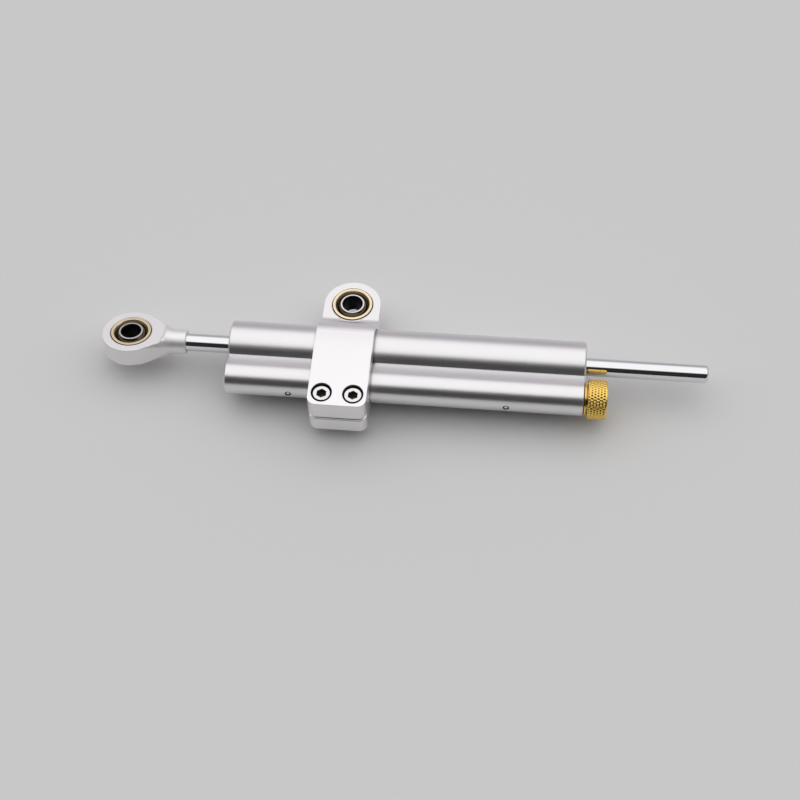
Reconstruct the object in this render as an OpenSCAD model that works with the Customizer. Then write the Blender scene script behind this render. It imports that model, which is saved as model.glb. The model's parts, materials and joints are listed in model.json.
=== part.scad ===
// Steering damper: a through-rod hydraulic damper with a twin-bore body, a body clamp with an eye,
// a rod end with an eye, a spherical bearing in each eye and a knurled needle-valve adjuster.
// The origin is the centre of the clamp's ball. +X runs along the rod to its free tip, and +Z along
// the clamp bolts. Inner modules are drawn with the left end of the body at x = 0 and the rod on
// the X axis.

/* [Body] */
// Length of the twin-bore body
barrel_len = 156.5; // [145:0.5:190]
// Outer diameter of the body's rod side
main_d = 21.8; // [21:0.1:25]
// Outer diameter of the body's valve side
front_d = 15; // [14.8:0.1:17]
// Distance between the axes of the rod and the valve
barrel_pitch = 17.4; // [17:0.1:18]
// Height of the crease between the two sides above their axes
crease_z = 5.7; // [4.5:0.1:6.4]
// Chamfer on the body's ends
barrel_chamfer = 0.6; // [0.2:0.1:1]
// Bore that the piston runs in
main_bore_d = 16; // [14.5:0.1:16.4]
// Step from the piston's bore out to the gland's bore, which the gland seats on
gland_step = 0.8; // [0.4:0.1:1]
// Oil passage between the two ports
passage_d = 6; // [4:0.5:7]
// Bore of the valve cartridge
valve_bore_d = 10; // [9:0.1:10.6]
// Depth of the valve cartridge's bore from the right end
valve_bore_depth = 46.5; // [43:0.5:55]
// Bore of the oil reservoir
reservoir_bore_d = 10.5; // [9.5:0.1:10.8]
// Cross-drilled oil ports
port_d = 2.8; // [2:0.1:3.4]
// Left port, measured from the left end
port_left = 28.3; // [28:0.1:33]
// Right port, measured from the right end
port_right = 33.4; // [31:0.1:34]
// Length of the plug that closes the outer mouth of a port
port_plug_len = 1.6; // [1:0.1:1.8]
// Depth of that plug's edge below the body's surface
port_plug_sink = 0.45; // [0.3:0.05:0.6]
// Height of that plug's dome
port_plug_dome = 0.25; // [0.15:0.05:0.3]

/* [Rod and piston] */
// Rod diameter
rod_d = 8; // [7:0.1:9]
// Bare rod between the body and the rod end
rod_gap = 20.4; // [16:0.1:30]
// Rod standing out of the right end
rod_tip_out = 53.3; // [51:0.1:70]
// Chamfer on the rod's tip
rod_tip_chamfer = 1; // [0.3:0.1:1.5]
// Thread that the rod end screws onto
rod_thread_d = 6; // [5:0.1:6.4]
// Length of that thread
rod_thread_len = 12; // [8:0.5:12.5]
// Travel of the rod to the left, out of the body
stroke_out = 50; // [40:1:52]
// Gap left between piston and gland at the end of that travel
stop_gap = 0.3; // [0.2:0.1:0.6]
// Length of the piston
piston_len = 12; // [10:0.5:14]
// Width of the piston ring
piston_ring_w = 3; // [2:0.1:4]
// Radial depth of the piston ring
piston_ring_t = 1.2; // [0.8:0.1:1.6]
// Thickness of the clips that hold the piston on the rod
rod_clip_t = 0.8; // [0.6:0.1:1]
// Radial width of those clips
rod_clip_w = 1.5; // [1:0.1:1.8]
// Depth of the rod's grooves for the clips
rod_clip_depth = 0.4; // [0.3:0.05:0.6]

/* [Glands] */
// Distance of the circlip from the body's end
circlip_inset = 1.6; // [1.2:0.1:2.5]
// Thickness of the circlip
circlip_t = 1; // [0.8:0.1:1.2]
// Radial width of the circlip
circlip_w = 2; // [1.4:0.1:2.2]
// Depth of the circlip's groove
circlip_depth = 0.6; // [0.4:0.05:0.7]
// Opening of the circlip, as an angle
circlip_gap = 40; // [25:1:60]
// Length of the wiper
wiper_len = 3.5; // [2.5:0.1:4.5]
// Radial thickness of the wiper
wiper_t = 2.6; // [2:0.1:3]
// Length of the guide bush
bush_len = 8; // [6:0.1:10]
// Wall of the guide bush
bush_t = 1; // [0.7:0.1:1.4]
// Length of the rod seal
seal_len = 4; // [3:0.1:5]
// Radial thickness of the rod seal
seal_t = 2; // [1.5:0.1:2.4]
// Wall beside each seat in the gland
gland_land = 1.2; // [0.8:0.1:2]
// Length of the gland's nose, which stops the piston
nose_len = 12.5; // [11:0.1:14]
// Wall of the gland's nose
nose_t = 1.7; // [1:0.1:2.2]
// Thickness of an O-ring in the main bores
oring_d = 1.7; // [1.4:0.1:2]

/* [Rod end] */
// Eye centre to the end of the neck
rod_end_len = 25.1; // [23:0.1:30]
// Diameter of the rod end's head
head_d = 25.8; // [24:0.1:29]
// Diameter of the rod end's neck
neck_d = 10.9; // [10:0.1:12]
// Where the head's taper reaches the neck, from the eye centre
neck_start = 17.8; // [16.5:0.1:19]
// Radius of the flare between taper and neck
neck_flare_r = 8; // [5:0.5:10]
// Radius of the flat that is faced around the eye
flat_r = 16.2; // [15.5:0.1:16.8]
// Radius of that cut's corner
flat_corner_r = 2; // [1:0.1:3]
// Turn of the rod end about the rod, as photographed
rod_end_turn = -9; // [-90:1:90]

/* [Eyes and bearings] */
// Thickness of both eyes
eye_t = 9; // [8.4:0.1:10]
// Ball diameter
ball_d = 14.3; // [13.6:0.1:15]
// Ball width
ball_w = 9.6; // [9:0.1:10.4]
// Bore of the ball
ball_bore_d = 8; // [6:0.1:8.4]
// Chamfer of the ball's bore
ball_chamfer = 0.6; // [0.2:0.05:0.8]
// Thickness of the sliding liner between ball and race
liner_t = 0.5; // [0.3:0.05:0.7]
// Width of the liner
liner_w = 4.8; // [4:0.1:5.2]
// Wall of the race behind the liner
race_wall = 1.15; // [1:0.05:1.8]
// Width of the race
race_w = 9.2; // [7:0.1:9.4]
// Width of the flat rim on the race's face
race_rim = 1.15; // [0.8:0.05:1.3]
// Depth of the bevel from that rim to the liner
race_bevel = 1.4; // [0.8:0.1:1.5]
// Chamfer at the mouth of an eye
eye_chamfer = 0.6; // [0.3:0.05:0.9]

/* [Clamp] */
// Clamp centre, measured from the left end of the body
clamp_x = 51.3; // [14:0.1:140]
// Clamp width along the body
clamp_w = 25.4; // [24:0.1:30]
// Clamp wall around the rod side
clamp_wall = 3.9; // [3:0.1:5]
// Clamp wall around the valve side
clamp_front_wall = 3.9; // [3:0.1:4.4]
// Eye centre behind the clamp's rod-side wall
eye_reach = 9; // [8.8:0.1:12]
// Rounding of the shoulder above and below the eye's lug
shoulder_r = 11; // [10:0.1:13]
// Fillet between the lug and that shoulder
lug_fillet_r = 6; // [4:0.1:7]
// Level top behind the sloping part, measured from the rod's axis
top_land = 8.9; // [4:0.1:12]
// Height of the sloping top at the front edge
ear_top = 11.3; // [10.4:0.1:12.4]
// Depth of the lower ear below the rod's axis
ear_bottom = 6.7; // [6:0.1:9]
// Lower face of the clamping slit
slit_z = 0.9; // [0.2:0.1:1.2]
// Width of the clamping slit
slit_w = 1.3; // [0.8:0.1:1.8]
// Rounding of the ear's corners
ear_corner_r = 3.8; // [1:0.1:5]
// Bolt axis in front of the body's surface
bolt_reach = 6.6; // [6.2:0.1:9]
// Front edge of the ear beyond the bolt axis
ear_end = 6.1; // [5:0.1:8]
// Distance between the bolts
bolt_space = 13.5; // [11.5:0.1:14]
// Bolt thread diameter
bolt_d = 5; // [4:0.1:5.6]
// Bolt length under the head
bolt_len = 12; // [10:0.1:13]
// Bolt head diameter
bolt_head_d = 8.5; // [7.5:0.1:8.8]
// Bolt head height
bolt_head_h = 5; // [4:0.1:5.5]
// Chamfer on the bolt head's rim
bolt_head_edge = 0.5; // [0.2:0.1:0.8]
// Hexagon socket across flats
bolt_hex = 4; // [3:0.1:4.6]
// Depth of the hexagon socket
bolt_hex_depth = 2.6; // [2:0.1:3]
// Top of the bolt head below the clamp's surface
bolt_sink = 0.7; // [0.2:0.1:1.2]

/* [Reservoir] */
// Length of the reservoir's end plug
plug_len = 7; // [6:0.1:7.4]
// Depth of the plug below the body's left end
plug_sink = 0.4; // [0.2:0.1:0.8]
// Hexagon socket of the plug, across flats
plug_hex = 5; // [4:0.1:5.6]
// Depth of that socket
plug_hex_depth = 3; // [2:0.1:3.2]
// Length of the floating piston
float_len = 6; // [5:0.1:7]
// Room for the floating piston to move towards the oil
float_room = 2.4; // [1.6:0.1:3]
// Length of its spring as fitted
float_spring_len = 10.2; // [9:0.1:10.4]
// Wire of its spring
float_wire_d = 0.8; // [0.6:0.05:0.9]
// Turns of its spring
float_turns = 5; // [3:1:6]
// Thickness of an O-ring in the reservoir and on the valve
small_oring_d = 1; // [0.8:0.05:1.1]

/* [Valve and adjuster] */
// Diameter of the cartridge's flange
flange_d = 14.6; // [13.5:0.1:15.4]
// Thickness of the cartridge's flange
flange_t = 0.6; // [0.4:0.05:0.9]
// Diameter of the cartridge's hub inside the knob
hub_d = 12.4; // [11.8:0.1:12.8]
// Length of the hub
hub_len = 4.3; // [3.4:0.1:4.3]
// Valve seat diameter
seat_d = 2.6; // [2:0.1:3]
// Length of the valve seat
seat_len = 4; // [3:0.1:4.5]
// Bore around the needle between seat and thread
needle_chamber_d = 4.8; // [4.4:0.1:5.2]
// Rim beside the valve's cross holes, in the groove that feeds them
window_rim = 0.4; // [0.2:0.1:0.6]
// Length of that bore from the cross holes to the thread
needle_chamber_len = 9.5; // [8.5:0.1:10]
// Diameter of the needle behind its tip
needle_d = 3.4; // [3:0.1:3.8]
// Length of the needle's taper
needle_taper = 3; // [2.4:0.1:4]
// Thread of the needle
needle_thread_d = 6; // [5.6:0.1:6.4]
// Advance of the needle for each turn
needle_pitch = 1; // [0.5:0.1:1]
// Turns of the knob from the place shown to the closed valve
closing_turns = 0.6; // [0.2:0.1:0.6]
// Shaft that carries the knob
knob_shaft_d = 5; // [4:0.1:5.4]
// Start of the needle's collar behind the thread's inner end
collar_inset = 2; // [1:0.1:2.5]
// End of that collar inside the body's right end
collar_depth = 6; // [5:0.1:8]
// Distance of the needle's O-ring from the collar's start
needle_oring_inset = 2.5; // [2:0.1:4]
// Thickness of the needle's O-ring
needle_oring_d = 0.8; // [0.6:0.05:0.9]
// Knob diameter
knob_d = 17.2; // [16.4:0.1:20]
// Knob length
knob_len = 8.2; // [8:0.1:10]
// Gap between the flange and the knob
knob_gap = 0.75; // [0.7:0.05:2]
// Chamfer on the knob
knob_chamfer = 0.5; // [0.2:0.1:1]
// Depth of the knob's cavity for the hub
knob_cavity = 4.6; // [4.5:0.1:5]
// Wall of the knob in front of the shaft's end
knob_face_t = 1.2; // [0.8:0.1:1.6]
// Grub screw that fixes the knob
grub_d = 2.5; // [2:0.1:3]
// Depth of the grub screw below the knob's surface
grub_sink = 1; // [0.4:0.1:1.4]
// Hexagon socket of the grub screw
grub_hex = 1.3; // [0.9:0.1:1.5]
// Detent ball
detent_ball_d = 1.6; // [1.4:0.05:1.8]
// How far the detent ball stands out of the hub
detent_proud = 0.25; // [0.2:0.05:0.3]
// Wall between the detent's hole and the needle's thread
detent_wall = 0.45; // [0.3:0.05:0.5]
// Wire of the detent spring
detent_wire_d = 0.16; // [0.12:0.01:0.2]
// Turns of the detent spring
detent_turns = 2; // [1:1:2]

/* [Fits] */
// Radial clearance of parts that run or slide on each other
run_fit = 0.03; // [0.02:0.01:0.06]
// Radial clearance of parts that are seated in each other
seat_fit = 0.02; // [0.01:0.01:0.04]
// Radial clearance of the clamp on the body, screws loosened
clamp_fit = 0.05; // [0.03:0.01:0.1]
// End play between stacked parts
end_play = 0.05; // [0.02:0.01:0.1]
// Play of an O-ring along its groove, at each side
groove_play = 0.15; // [0.1:0.01:0.2]
// Radial play of a bolt or a clip in the wider hole around it
hole_play = 0.25; // [0.2:0.01:0.4]
// Radial gap between the knob and the hub inside it
knob_play = 0.4; // [0.35:0.01:0.5]

/* [Hidden] */

$fn = 64;
// Overshoot of a cut past the face it opens
over = 1;
// Overlap of shapes that would otherwise only touch along a tangent
bite = 0.03;
// Tip radius of the needle as a share of its seat's radius
needle_tip = 0.45;

silver = [0.78, 0.77, 0.79];
chrome = [0.86, 0.88, 0.90];
gold = [0.83, 0.66, 0.26];
brass = [0.74, 0.57, 0.27];
steel = [0.70, 0.71, 0.73];
black_rubber = [0.10, 0.10, 0.11];
bronze = [0.45, 0.33, 0.19];

main_r = main_d / 2;
front_r = front_d / 2;
main_bore_r = main_bore_d / 2;
gland_bore_r = main_bore_r + gland_step;
rod_r = rod_d / 2;
valve_bore_r = valve_bore_d / 2;
reservoir_r = reservoir_bore_d / 2;
body_front_y = -(barrel_pitch + front_r);

// Gland layout, as depths from the body's end
gland_face = circlip_inset + circlip_t + end_play;
wiper_end = gland_face + wiper_len;
bush_end = wiper_end + bush_len;
seal_start = bush_end + gland_land;
seal_end = seal_start + seal_len;
gland_seat = seal_end + 2 * gland_land;
nose_end = gland_seat + nose_len;
gland_r = gland_bore_r - seat_fit;
oring_r = oring_d / 2;
gland_oring_x = wiper_end + bush_len / 2;

// Piston and rod, photographed position
piston_x = nose_end + stroke_out + stop_gap;
piston_r = main_bore_r - run_fit - end_play / 2;
piston_recess = rod_clip_t + 2 * end_play + gland_land / 4;
piston_ring_x = piston_x + (piston_len - piston_ring_w) / 2;
clip_r = rod_r - rod_clip_depth + rod_clip_w;
clip_left_x = piston_x + piston_recess - end_play - rod_clip_t;
clip_right_x = piston_x + piston_len - piston_recess + end_play;
rod_tip_x = barrel_len + rod_tip_out;
neck_x = -rod_gap;
rod_eye_x = neck_x - rod_end_len;

// Bearing
ball_r = ball_d / 2;
liner_in_r = ball_r + run_fit;
liner_out_r = liner_in_r + liner_t;
race_in_r = liner_out_r + run_fit;
race_r = race_in_r + race_wall;
eye_bore_r = race_r + seat_fit;
eye_face_r = eye_bore_r + eye_chamfer;

// Clamp
clamp_r = main_r + clamp_wall;
clamp_front_r = front_r + clamp_front_wall;
eye_y = clamp_r + eye_reach;
shoulder_z = clamp_r - shoulder_r;
fillet_z = eye_t / 2 + lug_fillet_r;
fillet_y = sqrt(pow(shoulder_r + lug_fillet_r, 2) - pow(fillet_z - shoulder_z, 2));
bolt_y = body_front_y - bolt_reach;
ear_y = bolt_y - ear_end;
top_z = clamp_r - bite;
top_slope = (top_z - ear_top) / (-ear_y - top_land);
bolt_top_z = top_z + top_slope * (bolt_y + top_land) - bolt_sink;
bolt_seat_z = bolt_top_z - bolt_head_h;
counterbore_r = bolt_head_d / 2 + hole_play;

// Reservoir, from the left end
plug_end = plug_sink + plug_len;
float_x = plug_end + float_spring_len;
reservoir_bore_depth = float_x + float_len + float_room;
small_oring_r = small_oring_d / 2;
plug_oring_x = plug_end - small_oring_d - gland_land / 2;
float_oring_x = float_x + float_len / 2;

// Valve, in body coordinates
valve_x = barrel_len - valve_bore_depth + end_play;
window_x = barrel_len - port_right;
window_half = port_d / 2 + window_rim;
valve_oring_reach = window_half + 2 * small_oring_d + gland_land;
seat_x = valve_x + seat_len;
thread_x = window_x + needle_chamber_len;
collar_x = thread_x + collar_inset;
collar_end = barrel_len - collar_depth;
needle_oring_x = collar_x + needle_oring_inset;
flange_x = barrel_len + flange_t;
hub_x = flange_x + hub_len;
knob_x = flange_x + knob_gap;
knob_end = knob_x + knob_len;
cavity_end = knob_x + knob_cavity;
cavity_r = hub_d / 2 + knob_play;
shaft_end = knob_end - knob_face_t;
valve_r = valve_bore_r - seat_fit;
needle_thread_r = needle_thread_d / 2;
detent_x = (flange_x + hub_x) / 2;
detent_ball_z = hub_d / 2 + detent_proud - detent_ball_d / 2;
detent_hole_r = detent_ball_d / 2 + run_fit;
detent_seat_z = needle_thread_r + detent_wall;

// Placing and turning

module in_place() {
    translate([-clamp_x, -eye_y, 0]) children();
}

module on_valve_axis() {
    translate([0, -barrel_pitch, 0]) children();
}

module right_end() {
    translate([barrel_len, 0, 0]) mirror([1, 0, 0]) children();
}

module at_rod_eye() {
    translate([rod_eye_x, 0, 0]) rotate([rod_end_turn, 0, 0]) children();
}

module at_clamp_eye() {
    translate([clamp_x, eye_y, 0]) children();
}

// A solid turned about X from points given as [x, radius]
module turned(points) {
    rotate([0, 90, 0]) rotate_extrude() polygon([for (p = points) [p[1], p[0]]]);
}

module bar_x(r, x0, x1) {
    translate([x0, 0, 0]) rotate([0, 90, 0]) cylinder(r = r, h = x1 - x0);
}

module tube_x(r_in, r_out, x0, x1) {
    difference() {
        bar_x(r_out, x0, x1);
        bar_x(r_in, x0 - over, x1 + over);
    }
}

// O-ring that seals against a bore of radius r
module oring_in(r, section_r, x) {
    translate([x, 0, 0]) rotate([0, 90, 0]) rotate_extrude()
        translate([r - seat_fit - section_r, 0]) circle(section_r);
}

// Groove for that O-ring, cut into the part that carries it
module oring_groove(r, section_r, x) {
    half = section_r + groove_play;
    tube_x(r - 2 * section_r - 2 * seat_fit, r + over, x - half, x + half);
}

// Open ring about X with a gap that faces down
module open_ring(r_in, r_out, x0, x1, gap) {
    difference() {
        tube_x(r_in, r_out, x0, x1);
        translate([x0 - over, 0, 0]) rotate([0, 90, 0]) linear_extrude(x1 - x0 + 2 * over)
            polygon([[0, 0], 2 * r_out * [1, tan(gap / 2)], 2 * r_out * [1, -tan(gap / 2)]]);
    }
}

// Helical spring along +Z from z = 0, as one tube
module coil_spring(mid_r, wire_d, length, turns) {
    sides = 6;
    rings = 8 * turns;
    rise = length - wire_d;
    lead = rise / turns / 360;
    pitch_angle = atan(lead * 180 / PI / mid_r);
    function ring(i) = let (
        a = 360 * turns * i / rings,
        across = [-sin(pitch_angle) * -sin(a), -sin(pitch_angle) * cos(a), cos(pitch_angle)]
    ) [for (k = [0 : sides - 1]) let (q = 360 * k / sides)
        [mid_r * cos(a), mid_r * sin(a), wire_d / 2 + lead * 360 * turns * i / rings]
        + wire_d / 2 * (cos(q) * [cos(a), sin(a), 0] + sin(q) * across)];
    points = [for (i = [0 : rings]) each ring(i)];
    walls = [for (i = [0 : rings - 1], k = [0 : sides - 1]) let (
        a = i * sides + k,
        b = i * sides + (k + 1) % sides
    ) each [[a, a + sides, b], [b, a + sides, b + sides]]];
    first_cap = [for (k = [1 : sides - 2]) [0, k, k + 1]];
    last = rings * sides;
    last_cap = [for (k = [1 : sides - 2]) [last, last + k + 1, last + k]];
    echo(spring_gap = rise / turns - wire_d);
    polyhedron(points, concat(walls, first_cap, last_cap));
}

// Body

module barrel_side(r) {
    turned([
        [0, 0], [0, r - barrel_chamfer], [barrel_chamfer, r],
        [barrel_len - barrel_chamfer, r], [barrel_len, r - barrel_chamfer], [barrel_len, 0]
    ]);
}

// Plane at both creases, which runs from the rod side to the top of the valve side. It is raised by
// grow, its ends have the given chamfer, and it is longer than the body by extra at both ends.
module barrel_web(grow, chamfer, extra) {
    crease_y = -sqrt(main_r * main_r - crease_z * crease_z);
    reach = norm([barrel_pitch + crease_y, crease_z]);
    tilt = asin((front_r - bite) / reach) - atan(crease_z / (barrel_pitch + crease_y));
    run = sqrt(reach * reach - front_r * front_r);
    x0 = -extra;
    x1 = barrel_len + extra;
    foot = -1.5 * crease_z;
    for (side = [0, 1]) mirror([0, 0, side]) translate([0, crease_y, crease_z]) rotate([-tilt, 0, 0])
        translate([0, main_r / 3, 0]) rotate([90, 0, 0]) linear_extrude(main_r / 3 + run) polygon([
            [x0, foot], [x0, grow - chamfer], [x0 + chamfer, grow],
            [x1 - chamfer, grow], [x1, grow - chamfer], [x1, foot]
        ]);
}

module gland_seat_cut() {
    bar_x(gland_bore_r, -over, gland_seat);
    bar_x(gland_bore_r + circlip_depth, circlip_inset - end_play, circlip_inset + circlip_t + end_play);
}

module port_cut(x) {
    translate([x, 0, 0]) rotate([90, 0, 0]) cylinder(d = port_d, h = -body_front_y + over);
}

module barrel_body() {
    color(silver) in_place() difference() {
        union() {
            barrel_side(main_r);
            on_valve_axis() barrel_side(front_r);
            barrel_web(0, barrel_chamfer, -end_play);
        }
        bar_x(main_bore_r, -over, barrel_len + over);
        gland_seat_cut();
        right_end() gland_seat_cut();
        on_valve_axis() {
            bar_x(passage_d / 2, -over, barrel_len + over);
            bar_x(reservoir_r, -over, reservoir_bore_depth);
            bar_x(valve_bore_r, barrel_len - valve_bore_depth, barrel_len + over);
        }
        port_cut(port_left);
        port_cut(window_x);
    }
}

// Domed plug in the outer mouth of a port
module port_plug() {
    plug_r = port_d / 2 - seat_fit;
    dome_r = (plug_r * plug_r + port_plug_dome * port_plug_dome) / (2 * port_plug_dome);
    translate([0, body_front_y + port_plug_sink, 0]) rotate([-90, 0, 0]) {
        cylinder(r = plug_r, h = port_plug_len);
        intersection() {
            translate([0, 0, dome_r - port_plug_dome]) sphere(dome_r);
            translate([0, 0, -port_plug_dome - over])
                cylinder(r = plug_r, h = port_plug_dome + over + port_plug_len / 2);
        }
    }
}

module port_plugs() {
    color(steel) in_place() {
        translate([port_left, 0, 0]) port_plug();
        translate([window_x, 0, 0]) port_plug();
    }
}

// Glands

module gland() {
    bush_seat_r = rod_r + bush_t + seat_fit;
    rod_hole_r = rod_r + bush_t / 3;
    nose_r = rod_hole_r + nose_t;
    difference() {
        union() {
            bar_x(gland_r, gland_face, gland_seat);
            bar_x(nose_r, gland_seat - over, nose_end);
        }
        bar_x(rod_hole_r, 0, nose_end + over);
        bar_x(rod_r + wiper_t + seat_fit, 0, wiper_end);
        bar_x(bush_seat_r, 0, bush_end);
        bar_x(rod_r + seal_t + seat_fit, seal_start, seal_end);
        oring_groove(gland_bore_r, oring_r, gland_oring_x);
    }
}

module guide_bush() {
    tube_x(rod_r + run_fit, rod_r + bush_t, wiper_end + end_play, bush_end - end_play);
}

// Lip seal with a groove in the face towards the oil
module rod_seal() {
    in_r = rod_r + run_fit;
    out_r = rod_r + seal_t;
    mid_r = (in_r + out_r) / 2;
    x0 = seal_start + end_play;
    x1 = seal_end - end_play;
    turned([
        [x0, in_r], [x0, out_r], [x1, out_r], [x1, mid_r + seal_t / 5],
        [x1 - seal_len / 2, mid_r], [x1, mid_r - seal_t / 5], [x1, in_r]
    ]);
}

// Wiper with a lip that points out of the body
module rod_wiper() {
    in_r = rod_r + run_fit;
    out_r = rod_r + wiper_t;
    x0 = gland_face + end_play;
    x1 = wiper_end - end_play;
    turned([
        [x0 - gland_land / 2, in_r], [x0 - gland_land / 2, in_r + wiper_t / 5],
        [x0 + wiper_len / 4, in_r + wiper_t / 2], [x0, out_r - wiper_t / 5], [x0, out_r],
        [x1, out_r], [x1, in_r]
    ]);
}

module gland_circlip() {
    out_r = gland_bore_r + circlip_depth - seat_fit;
    open_ring(out_r - circlip_w, out_r, circlip_inset, circlip_inset + circlip_t, circlip_gap);
}

module gland_left() {
    color(silver) in_place() gland();
}

module gland_right() {
    color(silver) in_place() right_end() gland();
}

module guide_bush_left() {
    color(bronze) in_place() guide_bush();
}

module guide_bush_right() {
    color(bronze) in_place() right_end() guide_bush();
}

module rod_seal_left() {
    color(black_rubber) in_place() rod_seal();
}

module rod_seal_right() {
    color(black_rubber) in_place() right_end() rod_seal();
}

module rod_wiper_left() {
    color(black_rubber) in_place() rod_wiper();
}

module rod_wiper_right() {
    color(black_rubber) in_place() right_end() rod_wiper();
}

module gland_oring_left() {
    color(black_rubber) in_place() oring_in(gland_bore_r, oring_r, gland_oring_x);
}

module gland_oring_right() {
    color(black_rubber) in_place() right_end() oring_in(gland_bore_r, oring_r, gland_oring_x);
}

module gland_circlip_left() {
    color(steel) in_place() gland_circlip();
}

module gland_circlip_right() {
    color(steel) in_place() right_end() gland_circlip();
}

// Rod and piston

module rod_clip_groove(x) {
    tube_x(rod_r - rod_clip_depth, rod_r + over, x - end_play, x + rod_clip_t + end_play);
}

module damper_rod() {
    color(chrome) in_place() difference() {
        union() {
            turned([
                [neck_x, 0], [neck_x, rod_r], [rod_tip_x - rod_tip_chamfer, rod_r],
                [rod_tip_x, rod_r - rod_tip_chamfer], [rod_tip_x, 0]
            ]);
            bar_x(rod_thread_d / 2, neck_x - rod_thread_len, neck_x + over);
        }
        rod_clip_groove(clip_left_x);
        rod_clip_groove(clip_right_x);
    }
}

module rod_clip(x) {
    open_ring(rod_r - rod_clip_depth + seat_fit, clip_r, x, x + rod_clip_t, circlip_gap);
}

module rod_clips() {
    color(steel) in_place() {
        rod_clip(clip_left_x);
        rod_clip(clip_right_x);
    }
}

module piston() {
    recess_r = clip_r + hole_play;
    color(silver) in_place() difference() {
        bar_x(piston_r, piston_x, piston_x + piston_len);
        bar_x(rod_r + run_fit, piston_x - over, piston_x + piston_len + over);
        bar_x(recess_r, piston_x - over, piston_x + piston_recess);
        bar_x(recess_r, piston_x + piston_len - piston_recess, piston_x + piston_len + over);
        tube_x(main_bore_r - run_fit - piston_ring_t - seat_fit, main_r,
            piston_ring_x - end_play, piston_ring_x + piston_ring_w + end_play);
    }
}

module piston_ring() {
    color(bronze) in_place() tube_x(main_bore_r - run_fit - piston_ring_t, main_bore_r - run_fit,
        piston_ring_x, piston_ring_x + piston_ring_w);
}

// Spherical bearing, about Z with its centre at the origin

module bearing_ball() {
    half = ball_w / 2;
    bore_r = ball_bore_d / 2;
    difference() {
        intersection() {
            sphere(ball_r);
            translate([0, 0, -half]) cylinder(r = ball_d, h = ball_w);
        }
        translate([0, 0, -ball_w]) cylinder(r = bore_r, h = 2 * ball_w);
        for (side = [0, 1]) mirror([0, 0, side]) translate([0, 0, half - ball_chamfer])
            cylinder(r1 = bore_r, r2 = bore_r + ball_chamfer + over, h = ball_chamfer + over);
    }
}

module bearing_liner() {
    difference() {
        intersection() {
            sphere(liner_out_r);
            translate([0, 0, -liner_w / 2]) cylinder(r = ball_d, h = liner_w);
        }
        sphere(liner_in_r);
    }
}

module bearing_race() {
    half = race_w / 2;
    bevel_z = half - race_bevel;
    bevel_r = sqrt(race_in_r * race_in_r - bevel_z * bevel_z);
    rim_r = race_r - race_rim;
    rotate_extrude() difference() {
        translate([0, -half]) square([race_r, race_w]);
        circle(race_in_r);
        for (side = [0, 1]) mirror([0, side])
            polygon([
                [-over, bevel_z], [bevel_r, bevel_z], [rim_r, half],
                [rim_r, half + over], [-over, half + over]
            ]);
        translate([-2 * race_r, -race_w]) square([2 * race_r, 2 * race_w]);
    }
}

// Through hole of an eye with a chamfer at both mouths
module eye_cut() {
    translate([0, 0, -eye_t]) cylinder(r = eye_bore_r, h = 2 * eye_t);
    for (side = [0, 1]) mirror([0, 0, side]) translate([0, 0, eye_t / 2 - eye_chamfer])
        cylinder(r1 = eye_bore_r, r2 = eye_face_r + over, h = eye_chamfer + over);
}

// Rod end

// Concave corner of radius r at x0, between a level line at height y and a line that climbs to its left
module flare_2d(x0, y, slope_angle, r) {
    run = r * tan(slope_angle / 2);
    difference() {
        polygon([
            [x0 + run, y], [x0 - run * cos(slope_angle), y + run * sin(slope_angle)],
            [x0 - run, 0], [x0 + run, 0]
        ]);
        translate([x0 + run, y + r]) circle(r);
    }
}

module rod_end() {
    head_r = head_d / 2;
    neck_r = neck_d / 2;
    half = eye_t / 2;
    // Tangent from the head's circle to the corner where the neck starts
    corner_angle = atan(neck_r / neck_start);
    corner_dist = norm([neck_start, neck_r]);
    touch_angle = corner_angle + acos(head_r / corner_dist);
    touch = head_r * [cos(touch_angle), sin(touch_angle)];
    plan_slope = atan((touch[1] - neck_r) / (neck_start - touch[0]));
    // Turned cone that the taper's edges lie on
    cone_r = norm([touch[1], half]);
    cone_slope = atan((cone_r - neck_r) / (neck_start - touch[0]));
    color(silver) in_place() at_rod_eye() difference() {
        union() {
            translate([0, 0, -half]) cylinder(r = head_r, h = eye_t);
            intersection() {
                rotate([0, 90, 0]) rotate_extrude() rotate(90) mirror([0, 1]) {
                    polygon([
                        [0, 0], [0, cone_r + touch[0] * tan(cone_slope)], [neck_start, neck_r],
                        [rod_end_len, neck_r], [rod_end_len, 0]
                    ]);
                    flare_2d(neck_start, neck_r, cone_slope, neck_flare_r);
                }
                translate([0, 0, -neck_r - over]) linear_extrude(neck_d + 2 * over)
                    for (side = [0, 1]) mirror([0, side]) {
                        polygon([
                            [0, 0], touch, [neck_start, neck_r],
                            [rod_end_len, neck_r], [rod_end_len, 0]
                        ]);
                        flare_2d(neck_start, neck_r, plan_slope, neck_flare_r);
                    }
            }
        }
        for (side = [0, 1]) mirror([0, 0, side]) translate([0, 0, half]) rotate_extrude() {
            square([flat_r - flat_corner_r, neck_d]);
            translate([0, flat_corner_r]) square([flat_r, neck_d]);
            translate([flat_r - flat_corner_r, flat_corner_r]) circle(flat_corner_r);
        }
        eye_cut();
        bar_x(rod_thread_d / 2 + seat_fit, rod_end_len - rod_thread_len - end_play, rod_end_len + over);
    }
}

module rod_end_race() {
    color(brass) in_place() at_rod_eye() bearing_race();
}

module rod_end_liner() {
    color(bronze) in_place() at_rod_eye() bearing_liner();
}

module rod_end_ball() {
    color(steel) in_place() at_rod_eye() bearing_ball();
}

// Clamp

// Bar along the clamp's width with a section given as [y, z], longer by an overshoot at both ends
module clamp_bar(section, extra = 0) {
    translate([clamp_x - clamp_w / 2 - extra, 0, 0]) rotate([90, 0, 90])
        linear_extrude(clamp_w + 2 * extra) polygon(section);
}

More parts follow.
